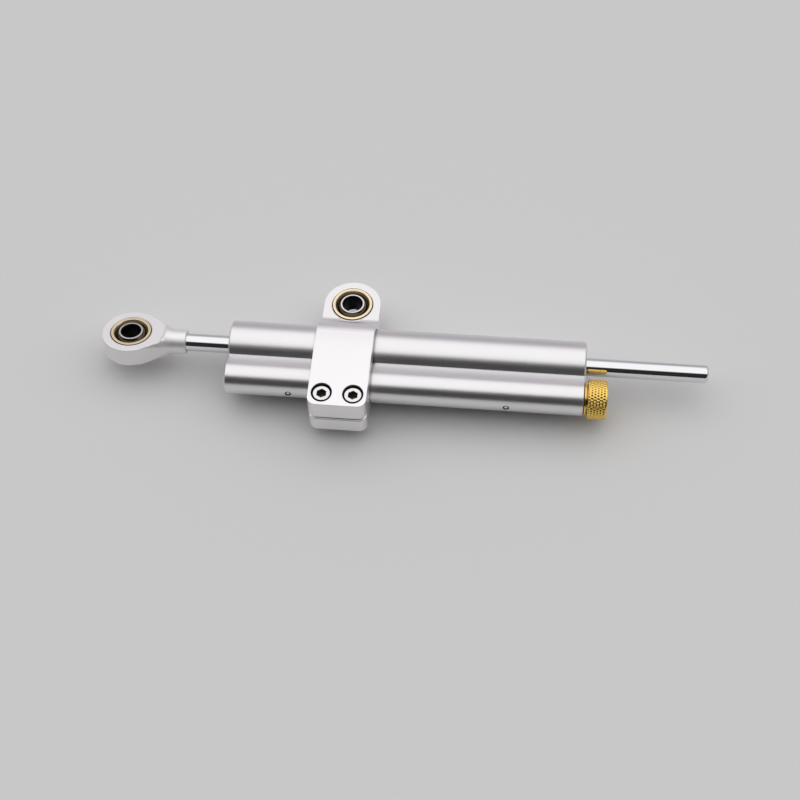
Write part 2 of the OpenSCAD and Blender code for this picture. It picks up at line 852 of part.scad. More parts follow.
// Cylinder along the clamp's width, longer by an overshoot at both ends
module clamp_round(r, y, z, extra) {
    translate([0, y, z]) bar_x(r, clamp_x - clamp_w / 2 - extra, clamp_x + clamp_w / 2 + extra);
}

// Space above the rounded shoulder and the fillet that leads it down to the lug
module shoulder_cut() {
    top = clamp_r + over;
    difference() {
        clamp_bar([[0, top], [0, shoulder_z], [fillet_y, fillet_z], [fillet_y, top]], over);
        clamp_round(shoulder_r, 0, shoulder_z, 2 * over);
    }
    clamp_round(lug_fillet_r + bite, fillet_y, fillet_z, over);
}

// Wall around both sides of the body, the split ear in front and the lug behind
module clamp_wrap() {
    lean = asin((clamp_r - clamp_front_r) / barrel_pitch);
    down = [-sin(lean), -cos(lean)];
    front = [-barrel_pitch, 0];
    lug_end = eye_y + clamp_w;
    half = eye_t / 2;
    clamp_round(clamp_r, 0, 0, 0);
    clamp_round(clamp_front_r, -barrel_pitch, 0, 0);
    clamp_bar([
        [0, 0], [0, top_z], [-top_land, top_z], [ear_y, ear_top],
        [ear_y, -ear_bottom], [-barrel_pitch, -ear_bottom]
    ]);
    clamp_bar([[0, 0], (clamp_r - bite) * down, front + (clamp_front_r - bite) * down, front]);
    clamp_bar([[0, -half], [lug_end, -half], [lug_end, half], [0, half]]);
    clamp_bar([[0, -fillet_z], [fillet_y, -half], [fillet_y, half], [0, fillet_z]]);
}

// Outline of the clamp from above, with y = 0 on the rod's axis
module clamp_plan() {
    half = clamp_w / 2;
    translate([-half, ear_y + ear_corner_r]) square([clamp_w, eye_y - ear_y - ear_corner_r]);
    translate([-half + ear_corner_r, ear_y]) square([clamp_w - 2 * ear_corner_r, ear_corner_r + over]);
    for (side = [-1, 1]) translate([side * (half - ear_corner_r), ear_y + ear_corner_r])
        circle(ear_corner_r);
    translate([0, eye_y]) circle(half);
}

module clamp_bolt_axes() {
    for (side = [-1, 1]) translate([clamp_x + side * bolt_space / 2, bolt_y, 0]) children();
}

module clamp_bracket() {
    height = 2 * (clamp_r + over);
    color(silver) in_place() difference() {
        intersection() {
            union() clamp_wrap();
            translate([clamp_x, 0, -height / 2]) linear_extrude(height) clamp_plan();
        }
        for (side = [0, 1]) mirror([0, 0, side]) shoulder_cut();
        clamp_round(main_r + clamp_fit, 0, 0, over);
        clamp_round(front_r + clamp_fit, -barrel_pitch, 0, over);
        barrel_web(clamp_fit, 0, over);
        translate([clamp_x - clamp_w, ear_y - over, slit_z])
            cube([2 * clamp_w, body_front_y + 2 * over - ear_y, slit_w]);
        at_clamp_eye() {
            eye_cut();
            for (side = [0, 1]) mirror([0, 0, side]) translate([0, 0, eye_t / 2])
                cylinder(r = eye_face_r + eye_chamfer, h = height);
        }
        clamp_bolt_axes() {
            translate([0, 0, bolt_seat_z]) cylinder(r = counterbore_r, h = height);
            translate([0, 0, slit_z]) cylinder(r = bolt_d / 2 + hole_play, h = height);
            translate([0, 0, -height]) cylinder(r = bolt_d / 2 + seat_fit, h = 2 * height);
        }
    }
}

module clamp_bolt() {
    head_r = bolt_head_d / 2;
    rim_z = bolt_head_h - bolt_head_edge;
    rotate([0, 0, 30]) difference() {
        union() {
            cylinder(r = head_r, h = rim_z);
            translate([0, 0, rim_z])
                cylinder(r1 = head_r, r2 = head_r - bolt_head_edge, h = bolt_head_edge);
            translate([0, 0, -bolt_len]) cylinder(d = bolt_d, h = bolt_len + over);
        }
        translate([0, 0, bolt_head_h - bolt_hex_depth])
            cylinder(d = bolt_hex / cos(30), h = bolt_hex_depth + over, $fn = 6);
    }
}

module clamp_bolts() {
    color(steel) in_place() clamp_bolt_axes() translate([0, 0, bolt_seat_z]) clamp_bolt();
}

module clamp_race() {
    color(brass) in_place() at_clamp_eye() bearing_race();
}

module clamp_liner() {
    color(bronze) in_place() at_clamp_eye() bearing_liner();
}

module clamp_ball() {
    color(steel) in_place() at_clamp_eye() bearing_ball();
}

// Reservoir

module reservoir_plug() {
    color(silver) in_place() on_valve_axis() difference() {
        bar_x(reservoir_r - seat_fit, plug_sink, plug_end);
        translate([plug_sink - over, 0, 0]) rotate([0, 90, 0])
            cylinder(d = plug_hex / cos(30), h = plug_hex_depth + over, $fn = 6);
        oring_groove(reservoir_r, small_oring_r, plug_oring_x);
    }
}

module reservoir_plug_oring() {
    color(black_rubber) in_place() on_valve_axis() oring_in(reservoir_r, small_oring_r, plug_oring_x);
}

module floating_piston() {
    color(silver) in_place() on_valve_axis() difference() {
        bar_x(reservoir_r - run_fit, float_x, float_x + float_len);
        oring_groove(reservoir_r, small_oring_r, float_oring_x);
    }
}

module floating_piston_oring() {
    color(black_rubber) in_place() on_valve_axis() oring_in(reservoir_r, small_oring_r, float_oring_x);
}

module reservoir_spring() {
    mid_r = reservoir_r - 2 * float_wire_d;
    length = float_spring_len - 2 * end_play;
    color(steel) in_place() on_valve_axis() translate([plug_end + end_play, 0, 0]) rotate([0, 90, 0])
        coil_spring(mid_r, float_wire_d, length, float_turns);
}

// Valve and adjuster

module valve_cartridge() {
    color(gold) in_place() on_valve_axis() difference() {
        union() {
            bar_x(valve_r, valve_x, barrel_len + over / 4);
            bar_x(flange_d / 2, barrel_len, flange_x);
            bar_x(hub_d / 2, flange_x - over / 4, hub_x);
        }
        bar_x(seat_d / 2, valve_x - over, seat_x + over);
        bar_x(needle_chamber_d / 2, seat_x, thread_x + over);
        bar_x(needle_thread_r + run_fit, thread_x, hub_x + over);
        tube_x(valve_bore_r - small_oring_d, valve_bore_r + over,
            window_x - window_half, window_x + window_half);
        for (turn = [0, 90]) rotate([turn, 0, 0]) translate([window_x, 0, -valve_bore_d])
            cylinder(d = port_d - 2 * window_rim, h = 2 * valve_bore_d);
        oring_groove(valve_bore_r, small_oring_r, window_x - valve_oring_reach);
        oring_groove(valve_bore_r, small_oring_r, window_x + valve_oring_reach);
        translate([detent_x, 0, detent_seat_z]) cylinder(r = detent_hole_r, h = hub_d);
    }
}

module valve_orings() {
    color(black_rubber) in_place() on_valve_axis() {
        oring_in(valve_bore_r, small_oring_r, window_x - valve_oring_reach);
        oring_in(valve_bore_r, small_oring_r, window_x + valve_oring_reach);
    }
}

module valve_needle() {
    // Screwed in by the closing turns the taper meets the edge of the seat
    closed_x = seat_x + closing_turns * needle_pitch;
    taper_rate = (needle_d / 2 - seat_d / 2 * needle_tip) / needle_taper;
    tip_x = closed_x - (seat_d / 2 * (1 - needle_tip) - run_fit) / taper_rate;
    taper_x = tip_x + needle_taper;
    color(steel) in_place() on_valve_axis() difference() {
        turned([
            [tip_x, 0], [tip_x, seat_d / 2 * needle_tip], [taper_x, needle_d / 2], [collar_x, needle_d / 2],
            [collar_x, needle_thread_r], [collar_end, needle_thread_r], [collar_end, knob_shaft_d / 2],
            [shaft_end, knob_shaft_d / 2], [shaft_end, 0]
        ]);
        oring_groove(needle_thread_r + run_fit, needle_oring_d / 2, needle_oring_x);
    }
}

module needle_oring() {
    color(black_rubber) in_place() on_valve_axis()
        oring_in(needle_thread_r + run_fit, needle_oring_d / 2, needle_oring_x);
}

module knob_grub_axis() {
    translate([(cavity_end + shaft_end) / 2, 0, 0]) rotate([180, 0, 0]) children();
}

module adjuster_knob() {
    r = knob_d / 2;
    color(gold) in_place() on_valve_axis() difference() {
        turned([
            [knob_x, 0], [knob_x, r - knob_chamfer], [knob_x + knob_chamfer, r],
            [knob_end - knob_chamfer, r], [knob_end, r - knob_chamfer], [knob_end, 0]
        ]);
        bar_x(cavity_r, knob_x - over, cavity_end);
        bar_x(knob_shaft_d / 2 + seat_fit, knob_x, shaft_end + end_play);
        knob_grub_axis() cylinder(r = grub_d / 2 + seat_fit, h = knob_d);
    }
}

module knob_grub_screw() {
    start = knob_shaft_d / 2 + end_play;
    length = knob_d / 2 - start - grub_sink;
    color(steel) in_place() on_valve_axis() knob_grub_axis() translate([0, 0, start]) difference() {
        cylinder(d = grub_d, h = length);
        translate([0, 0, length / 2]) cylinder(d = grub_hex / cos(30), h = length, $fn = 6);
    }
}

module detent_ball() {
    color(steel) in_place() on_valve_axis() translate([detent_x, 0, detent_ball_z])
        sphere(d = detent_ball_d);
}

module detent_spring() {
    length = detent_ball_z - detent_ball_d / 2 - detent_seat_z;
    color(steel) in_place() on_valve_axis() translate([detent_x, 0, detent_seat_z + end_play])
        coil_spring(detent_hole_r - detent_wire_d, detent_wire_d, length - 2 * end_play, detent_turns);
}

barrel_body();
gland_left();
gland_right();
guide_bush_left();
guide_bush_right();
rod_seal_left();
rod_seal_right();
rod_wiper_left();
rod_wiper_right();
gland_oring_left();
gland_oring_right();
gland_circlip_left();
gland_circlip_right();
port_plugs();
damper_rod();
rod_clips();
piston();
piston_ring();
rod_end();
rod_end_race();
rod_end_liner();
rod_end_ball();
clamp_bracket();
clamp_race();
clamp_liner();
clamp_ball();
clamp_bolts();
reservoir_plug();
reservoir_plug_oring();
floating_piston();
floating_piston_oring();
reservoir_spring();
valve_cartridge();
valve_orings();
valve_needle();
needle_oring();
adjuster_knob();
knob_grub_screw();
detent_ball();
detent_spring();
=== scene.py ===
"""Looks of the steering damper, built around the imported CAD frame."""
import json
import math
from typing import NamedTuple

import bmesh
import bpy
from mathutils import Matrix, Vector
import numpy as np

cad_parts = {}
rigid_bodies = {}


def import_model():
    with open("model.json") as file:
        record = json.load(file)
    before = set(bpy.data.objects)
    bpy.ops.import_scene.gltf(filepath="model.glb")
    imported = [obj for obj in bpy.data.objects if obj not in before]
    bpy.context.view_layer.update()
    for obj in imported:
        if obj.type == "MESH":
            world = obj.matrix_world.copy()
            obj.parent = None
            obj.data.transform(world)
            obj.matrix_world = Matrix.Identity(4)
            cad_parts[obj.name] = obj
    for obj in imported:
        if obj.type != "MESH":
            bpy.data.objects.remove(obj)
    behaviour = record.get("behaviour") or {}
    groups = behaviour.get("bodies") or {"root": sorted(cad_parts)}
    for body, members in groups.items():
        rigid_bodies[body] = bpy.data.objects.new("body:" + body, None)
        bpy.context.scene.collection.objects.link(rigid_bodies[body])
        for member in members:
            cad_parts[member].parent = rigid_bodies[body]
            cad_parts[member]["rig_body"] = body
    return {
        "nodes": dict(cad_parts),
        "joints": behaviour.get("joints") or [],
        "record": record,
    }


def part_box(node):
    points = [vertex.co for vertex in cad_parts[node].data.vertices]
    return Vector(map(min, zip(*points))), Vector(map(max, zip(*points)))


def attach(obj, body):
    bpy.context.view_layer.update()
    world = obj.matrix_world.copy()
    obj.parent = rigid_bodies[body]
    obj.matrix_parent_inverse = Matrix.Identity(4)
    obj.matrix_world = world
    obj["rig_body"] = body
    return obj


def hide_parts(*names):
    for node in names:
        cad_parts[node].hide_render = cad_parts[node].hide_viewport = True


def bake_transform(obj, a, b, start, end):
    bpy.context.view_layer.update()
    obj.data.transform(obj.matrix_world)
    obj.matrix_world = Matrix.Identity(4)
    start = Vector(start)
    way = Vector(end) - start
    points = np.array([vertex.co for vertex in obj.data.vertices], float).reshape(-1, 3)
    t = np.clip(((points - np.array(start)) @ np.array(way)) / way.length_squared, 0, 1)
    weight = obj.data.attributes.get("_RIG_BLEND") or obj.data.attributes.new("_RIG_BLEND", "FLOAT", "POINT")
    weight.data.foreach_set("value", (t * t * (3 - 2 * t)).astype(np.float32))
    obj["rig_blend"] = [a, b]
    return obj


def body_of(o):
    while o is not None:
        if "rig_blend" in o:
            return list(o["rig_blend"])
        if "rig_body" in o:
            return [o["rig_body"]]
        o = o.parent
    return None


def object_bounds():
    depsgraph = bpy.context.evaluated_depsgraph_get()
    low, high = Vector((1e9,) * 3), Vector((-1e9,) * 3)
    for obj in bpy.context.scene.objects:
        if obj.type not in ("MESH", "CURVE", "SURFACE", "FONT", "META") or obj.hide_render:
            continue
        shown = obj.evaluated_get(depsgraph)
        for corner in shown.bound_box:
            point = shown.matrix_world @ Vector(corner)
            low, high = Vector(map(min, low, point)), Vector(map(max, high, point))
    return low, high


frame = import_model()
cad_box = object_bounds()
NODES = frame["nodes"]
JOINTS = {joint["name"]: joint for joint in frame["joints"]}
MOUNTS = frame["record"]["mounts"]
MM = 0.001


def add_object(name, data):
    thing = bpy.data.objects.new(name, data)
    bpy.context.scene.collection.objects.link(thing)
    return thing


# Camera

CAMERA_PLACE = (0.07861, -0.45202, 0.56062)
CAMERA_RIGHT = (0.99503, 0.09670, -0.02378)
CAMERA_UP = (-0.06437, 0.80680, 0.58730)
CAMERA_BACK = (0.07598, -0.58285, 0.80902)
CAMERA_LENS = 72.04
CAMERA_SENSOR = 36
CAMERA_CLIP = (0.02, 100)


def make_camera():
    data = bpy.data.cameras.new("camera")
    data.sensor_width = CAMERA_SENSOR
    data.lens = CAMERA_LENS
    data.clip_start, data.clip_end = CAMERA_CLIP
    camera = add_object("camera", data)
    turn = Matrix((CAMERA_RIGHT, CAMERA_UP, CAMERA_BACK)).transposed().to_4x4()
    camera.matrix_world = Matrix.Translation(CAMERA_PLACE) @ turn
    bpy.context.scene.camera = camera


make_camera()


# Shading helpers

# Sockets of a Mix node that mixes colours
MIX_FACTOR, MIX_A, MIX_B, MIX_RESULT = 0, 6, 7, 2

# Ambient occlusion: samples, the share that counts as open, and the shares of a face and an outer edge
AO_SAMPLES = 8
OPEN_SHARE = 0.8
FACE_SHARE, EDGE_SHARE = 0.12, 0.5


class Shade:
    """One node tree with a few short ways to add and link its nodes."""

    def __init__(self, tree):
        self.tree = tree

    def add(self, kind, values=None, **settings):
        node = self.tree.nodes.new(kind)
        for key, value in settings.items():
            setattr(node, key, value)
        for key, value in (values or {}).items():
            self.put(node.inputs[key], value)
        return node

    def put(self, socket, value):
        if isinstance(value, bpy.types.NodeSocket):
            self.tree.links.new(value, socket)
        elif isinstance(value, bpy.types.Node):
            self.tree.links.new(value.outputs[0], socket)
        else:
            socket.default_value = value

    def math(self, operation, a, b=0.0):
        return self.add("ShaderNodeMath", {0: a, 1: b}, operation=operation).outputs[0]

    def times(self, a, b):
        return self.math("MULTIPLY", a, b)

    def plus(self, a, b):
        return self.math("ADD", a, b)

    def ramp(self, value, low, high, to_low=0.0, to_high=1.0, smooth=False):
        kind = "SMOOTHSTEP" if smooth else "LINEAR"
        limits = {"From Min": low, "From Max": high, "To Min": to_low, "To Max": to_high}
        inputs = {"Value": value, **limits}
        return self.add("ShaderNodeMapRange", inputs, clamp=True, interpolation_type=kind).outputs[0]

    def between(self, value, low, high, blur):
        """1 between two limits and 0 outside them, with blurred limits."""
        above = self.ramp(value, low - blur, low + blur)
        below = self.ramp(value, high + blur, high - blur)
        return self.times(above, below)

    def mix(self, factor, a, b):
        inputs = {MIX_FACTOR: factor, MIX_A: a, MIX_B: b}
        return self.add("ShaderNodeMix", inputs, data_type="RGBA").outputs[MIX_RESULT]

    def place(self):
        return self.add("ShaderNodeTexCoord").outputs["Object"]

    def noise(self, scale, detail=2.0, stretch=None):
        where = self.place()
        if stretch:
            where = self.add("ShaderNodeMapping", {"Vector": where, "Scale": stretch}).outputs[0]
        inputs = {"Vector": where, "Scale": scale, "Detail": detail}
        return self.add("ShaderNodeTexNoise", inputs).outputs["Fac"]

    def noise_along(self, value, scale, detail=2.0):
        """Noise that changes only with one value."""
        inputs = {"W": value, "Scale": scale, "Detail": detail}
        return self.add("ShaderNodeTexNoise", inputs, noise_dimensions="1D").outputs["Fac"]

    def from_axis(self, point, axis):
        """Distance from a line, and height along it, of the shaded point at rest."""
        turn = Vector(axis).rotation_difference(Vector((0, 0, 1)))
        inputs = {"Vector": self.place(), "Location": -(turn @ Vector(point)), "Rotation": turn.to_euler()}
        moved = self.add("ShaderNodeMapping", inputs)
        x, y, z = self.add("ShaderNodeSeparateXYZ", {"Vector": moved}).outputs
        return self.math("SQRT", self.plus(self.times(x, x), self.times(y, y))), z

    def painted_crevice_shade(self, reach, darkest):
        """Mask for painted shade: 1 in the open, falling towards 0 in a crack narrower than reach, or in a
        corner.
        """
        ao = self.add("ShaderNodeAmbientOcclusion", {"Distance": reach}, samples=AO_SAMPLES)
        return self.ramp(ao.outputs["AO"], darkest, OPEN_SHARE)

    def edge(self, reach):
        """Mask for a painted edge highlight: 0 on a face, rising towards 1 on an outer edge."""
        ao = self.add("ShaderNodeAmbientOcclusion", {"Distance": reach}, samples=AO_SAMPLES, inside=True)
        return self.ramp(ao.outputs["AO"], FACE_SHARE, EDGE_SHARE)


def rgba(colour, share=1.0):
    return (*(channel * share for channel in colour), 1.0)


def new_material(name):
    material = bpy.data.materials.new(name)
    material.use_nodes = True
    shade = Shade(material.node_tree)
    shade.bsdf = material.node_tree.nodes["Principled BSDF"]
    return material, shade


# Metals

# Painted shade: black in bores, screw rims and plug rims, dark brown in sockets and on the eyes' balls
PAINTED_SHADE_BLACK = (0.010, 0.009, 0.009)
PAINTED_SHADE_BROWN = (0.10, 0.082, 0.066)

# Noise: patches for each metre, octaves, and the parts of its range that are used
DRIFT_SCALE = 60.0
RING_SCALE = 9000.0
METAL_DETAIL = 3.0
NOISE_LOW, NOISE_HIGH = 0.3, 0.7
GRAIN_LOW, GRAIN_HIGH = 0.25, 0.75

# How far each layer of a metal changes its tone, gloss and height
DRIFT_SHARE, GRAIN_SHARE = 0.6, 0.4
GLOSS_LOW, GLOSS_HIGH = 0.92, 1.08
RING_GLOSS_LOW, RING_GLOSS_HIGH = 0.85, 1.15
RING_HEIGHT = 2.0
# Painted highlight on outer edges: its share and tone
EDGE_HIGHLIGHT_SHARE, EDGE_HIGHLIGHT_TONE = 0.5, 1.12
# Tone of the painted shade in cracks and corners
CREVICE_SHADE_TONE = 0.18
BUMP_DEPTH = 0.02 * MM
ZONE_BLUR = 0.06 * MM
# Roughness added where the painted shade is black
PAINTED_BLACK_DULL = 0.25


class Zone(NamedTuple):
    """A band round a line with another colour and roughness, in this script all painted shade: its radii,
    its heights along that line, and its look.
    """
    point: Vector
    axis: tuple
    inner: float
    outer: float
    low: float
    high: float
    colour: tuple
    dull: float = 0.0


def metal(name, colour, rough, drift=0.02, grain=3000.0, stretch=None, relief=0.05, crevice_shade_reach=0.0,
          darkest=0.2, edge_highlight_reach=0.0, rings=None, zones=()):
    """Metal with a slow drift of tone, a fine grain, painted shade in cracks and corners, a painted
    highlight on outer edges and turned rings.

    grain is in patches for each metre. Two reach arguments say how far the painted crevice shade and the
    painted edge highlight reach.
    rings is the point and axis of the line that turned rings go round. zones are bands with another colour
    and roughness; in this script their colours are all painted shade.
    """
    material, s = new_material(name)
    slow = s.noise(DRIFT_SCALE, METAL_DETAIL)
    fine = s.noise(grain, METAL_DETAIL, stretch)
    mottle = s.plus(s.times(slow, DRIFT_SHARE), s.times(fine, GRAIN_SHARE))
    tone = s.ramp(mottle, NOISE_LOW, NOISE_HIGH)
    base = s.mix(tone, rgba(colour, 1 - drift), rgba(colour, 1 + drift))
    gloss = s.ramp(fine, GRAIN_LOW, GRAIN_HIGH, rough * GLOSS_LOW, rough * GLOSS_HIGH)
    height = fine
    if rings:
        radius, _ = s.from_axis(*rings)
        lines = s.noise_along(radius, RING_SCALE)
        height = s.plus(fine, s.times(lines, RING_HEIGHT))
        gloss = s.times(gloss, s.ramp(lines, NOISE_LOW, NOISE_HIGH, RING_GLOSS_LOW, RING_GLOSS_HIGH))
    # Painted highlight: outer edges are painted lighter.
    if edge_highlight_reach:
        base = s.mix(s.times(s.edge(edge_highlight_reach), EDGE_HIGHLIGHT_SHARE), base, rgba(colour, EDGE_HIGHLIGHT_TONE))
    # Painted shade: cracks and corners are painted darker.
    if crevice_shade_reach:
        base = s.mix(s.painted_crevice_shade(crevice_shade_reach, darkest), rgba(colour, CREVICE_SHADE_TONE), base)
    # Zones paint bands another colour; in this script these colours are all painted shade.
    for zone in zones:
        radius, along = s.from_axis(zone.point, zone.axis)
        inside = s.times(s.between(radius, zone.inner, zone.outer, ZONE_BLUR),
                         s.between(along, zone.low, zone.high, ZONE_BLUR))
        base = s.mix(inside, base, rgba(zone.colour))
        gloss = s.plus(gloss, s.times(inside, zone.dull))
    s.put(s.bsdf.inputs["Base Color"], base)
    s.put(s.bsdf.inputs["Roughness"], gloss)
    s.bsdf.inputs["Metallic"].default_value = 1.0
    bump = s.add("ShaderNodeBump", {"Strength": relief, "Distance": BUMP_DEPTH, "Height": height})
    s.put(s.bsdf.inputs["Normal"], bump)
    return material


def coat(material, *nodes):
    """Gives CAD nodes that keep their shape a better material."""
    for name in nodes:
        data = NODES[name].data
        data.materials.clear()
        data.materials.append(material)


# Pieces made from the CAD nodes

WELD = 2e-6
NEAR = 0.05 * MM
FLAT_ANGLE = math.radians(0.5)
ROUND_ANGLE = math.radians(28)
CREASE_ANGLE = math.radians(32)


def middle(name):
    low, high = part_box(name)
    return (low + high) / 2


def welded(name):
    """A CAD node's shape with its points joined and its flat faces whole."""
    bm = bmesh.new()
    bm.from_mesh(NODES[name].data)
    bmesh.ops.remove_doubles(bm, verts=bm.verts, dist=WELD)
    bmesh.ops.dissolve_limit(bm, angle_limit=FLAT_ANGLE, verts=bm.verts, edges=bm.edges)
    return bm


def outer_edges(bm, keep=None):
    """The sharp edges that stand out, or those of them that a test keeps, by their middle point."""
    found = []
    for edge in bm.edges:
        if edge.is_manifold and edge.is_convex and edge.calc_face_angle() > ROUND_ANGLE:
            if keep is None or keep((edge.verts[0].co + edge.verts[1].co) / 2):
                found.append(edge)
    return found


def round_edges(bm, edges, radius, segments=2):
    bmesh.ops.bevel(bm, geom=edges, offset=radius, offset_type="OFFSET", segments=segments, profile=0.5,
                    affect="EDGES", clamp_overlap=False)


def as_object(bm, name):
    mesh = bpy.data.meshes.new(name)
    bm.to_mesh(mesh)
    bm.free()
    return add_object(name, mesh)


def finished(bm, node, material):
    """Turns a mesh into the piece that shows in place of a CAD node."""
    piece = as_object(bm, node + "_finish")
    mesh = piece.data
    mesh.materials.clear()
    mesh.materials.append(material)
    mesh.shade_smooth()
    mesh.set_sharp_from_angle(angle=CREASE_ANGLE)
    piece.modifiers.new("even_normals", "WEIGHTED_NORMAL").keep_sharp = True
    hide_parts(node)
    return piece


def stand_for(bm, node, material):
    """A finished piece that moves as the CAD node does."""
    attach(finished(bm, node, material), body_of(NODES[node])[0])


def soften(node, material, radius):
    """A finished piece with all its outer edges rounded."""
    bm = welded(node)
    round_edges(bm, outer_edges(bm), radius)
    stand_for(bm, node, material)


# Body and rod

# Its painted crevice shade reaches 2.2 mm, so that the clamp's contact shadow is painted on the barrel.
silver = metal("silver_anodised", (0.80, 0.785, 0.794), rough=0.31, stretch=(0.02, 1, 1), crevice_shade_reach=2.2 * MM,
               darkest=0.42)
coat(silver, "barrel_body")
turned = metal("machined_aluminium", (0.82, 0.82, 0.83), rough=0.30, crevice_shade_reach=0.8 * MM)
coat(turned, "gland_left", "gland_right", "piston", "reservoir_plug", "floating_piston")
chrome = metal("hard_chrome", (0.79, 0.797, 0.808), rough=0.085, drift=0.01, grain=1500.0, relief=0.01)


def make_rod():
    """Rod with a rounded tip."""
    tip_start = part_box("damper_rod")[1].x - 2 * MM
    bm = welded("damper_rod")
    tip_edges = outer_edges(bm, lambda point: point.x > tip_start)
    round_edges(bm, tip_edges, radius=0.45 * MM, segments=3)
    stand_for(bm, "damper_rod", chrome)


make_rod()


# Eyes: rod end, clamp and their bearings

# Both get painted shade in cracks and a painted highlight along their outer edges.
blasted = metal("silver_blasted", (0.83, 0.812, 0.824), rough=0.37, crevice_shade_reach=1.0 * MM, edge_highlight_reach=0.35 * MM)
peened = metal("silver_peened", (0.85, 0.835, 0.843), rough=0.52, grain=2200.0, relief=0.12,
               crevice_shade_reach=1.0 * MM, edge_highlight_reach=0.35 * MM)
bronze = metal("bronze_ptfe", (0.16, 0.11, 0.065), rough=0.42, drift=0.15, crevice_shade_reach=0.6 * MM)
coat(bronze, "rod_end_liner", "clamp_liner", "guide_bush_left", "guide_bush_right", "piston_ring")


def make_bearing(eye):
    """Race and ball of one eye, with turned faces; the ball's bore is painted black and its face outside the
    lip dark brown, both painted shade.
    """
    spin = JOINTS[eye + "_ball_spin"]
    line = (Vector(spin["pos_m"]), spin["axis"])
    brass = metal(eye + "_brass", (0.91, 0.77, 0.53), rough=0.28, relief=0.08, crevice_shade_reach=0.7 * MM,
                  rings=line)
    soften(eye + "_race", brass, radius=0.12 * MM)
    bore = next(mount for mount in MOUNTS if (Vector(mount["pos_m"]) - line[0]).length < MM)["dims"]
    far = bore["length_mm"] * MM
    lip_width = 0.65 * MM
    lip_r = bore["r_mm"] * MM + lip_width
    painted_bore_shade = Zone(*line, inner=0, outer=lip_r, low=-far, high=far, colour=PAINTED_SHADE_BLACK, dull=PAINTED_BLACK_DULL)
    painted_ball_shade = Zone(*line, inner=lip_r + lip_width, outer=far, low=-far, high=far, colour=PAINTED_SHADE_BROWN)
    steel = metal(eye + "_steel", (0.72, 0.71, 0.70), rough=0.18, rings=line, zones=[painted_bore_shade, painted_ball_shade])
    soften(eye + "_ball", steel, radius=0.1 * MM)


def make_rod_end():
    """Rod end whose head and neck have rounded rims."""
    spin = JOINTS["rod_end_ball_spin"]
    centre, axis = Vector(spin["pos_m"]), Vector(spin["axis"])
    low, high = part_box("rod_end")
    head_r = centre.x - low.x
    taper_share = 0.42
    taper_x = centre.x + taper_share * head_r

    def on_rim(point):
        arm = point - centre
        from_axis = (arm - axis * arm.dot(axis)).length
        on_head = from_axis > head_r - NEAR and point.x < taper_x
        return on_head or point.x > high.x - NEAR

    bm = welded("rod_end")
    round_edges(bm, outer_edges(bm, on_rim), radius=0.45 * MM, segments=3)
    stand_for(bm, "rod_end", peened)


def make_clamp():
    """Clamp with softened edges, and rounder ones on the ear's lower half along the slit."""
    slit_z = 0.9 * MM
    ear_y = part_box("clamp_bolts")[1].y

    def on_slit(point):
        return abs(point.z - slit_z) < NEAR and point.y < ear_y

    bm = welded("clamp_bracket")
    round_edges(bm, outer_edges(bm, on_slit), radius=0.8 * MM, segments=4)
    round_edges(bm, outer_edges(bm, lambda point: not on_slit(point)), radius=0.25 * MM)
    stand_for(bm, "clamp_bracket", blasted)


def make_bolts():
    """Bright screw heads, with painted shade: black on the outer rims and sides of the heads, dark brown in
    the sockets.
    """
    low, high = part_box("clamp_bolts")
    head_r = (high.y - low.y) / 2
    rim_r, socket_r = 3.6 * MM, 2.6 * MM
    bottom, socket_top = -20 * MM, -0.12 * MM
    y = (low.y + high.y) / 2
    painted_bolt_shade = []
    for x in (low.x + head_r, high.x - head_r):
        line = (Vector((x, y, high.z)), (0, 0, 1))
        painted_bolt_shade.append(Zone(*line, inner=rim_r, outer=2 * head_r, low=bottom, high=MM,
                             colour=PAINTED_SHADE_BLACK, dull=PAINTED_BLACK_DULL))
        painted_bolt_shade.append(Zone(*line, inner=0, outer=socket_r, low=bottom, high=socket_top,
                             colour=PAINTED_SHADE_BROWN))
    steel = metal("bright_steel_bolts", (0.79, 0.79, 0.80), rough=0.22, crevice_shade_reach=0.5 * MM, zones=painted_bolt_shade)
    soften("clamp_bolts", steel, radius=0.12 * MM)


make_bearing("rod_end")
make_bearing("clamp")
make_rod_end()
make_clamp()
make_bolts()


# Adjuster

GOLD = (0.95, 0.63, 0.16)
# Dark gold painted as shade in the knurl's grooves
GROOVE_SHADE_GOLD = tuple(0.12 * channel for channel in GOLD)
# Its painted crevice shade reaches 1.5 mm, so that the gap before the knob is painted dark.
coat(metal("gold_anodised", GOLD, rough=0.26, crevice_shade_reach=1.5 * MM), "valve_cartridge")

# Knurl: teeth around the knob, mesh cells in each tooth, and room inside the CAD knob
KNURL_TEETH = 40
KNURL_CELLS = 8
KNURL_INSET = 0.02 * MM

# Knurl's grooves: share of the pitch, lean, depth, and the share of the depth from which they are painted
# dark as painted shade
KNURL_GROOVE = 0.7
KNURL_LEAN = math.radians(27)
KNURL_DEPTH = 0.34 * MM
KNURL_SHADE_SHARE = 0.62


def knurl_cut(row, column):
    """Depth of the two crossing grooves at one point of the knurl's grid."""
    cut = 0
    for way in (1, -1):
        from_groove = 1 - 2 * abs((column + way * row) / KNURL_CELLS % 1 - 0.5)
        cut += max(0, 1 - from_groove / KNURL_GROOVE)
    return KNURL_DEPTH / 2 * cut


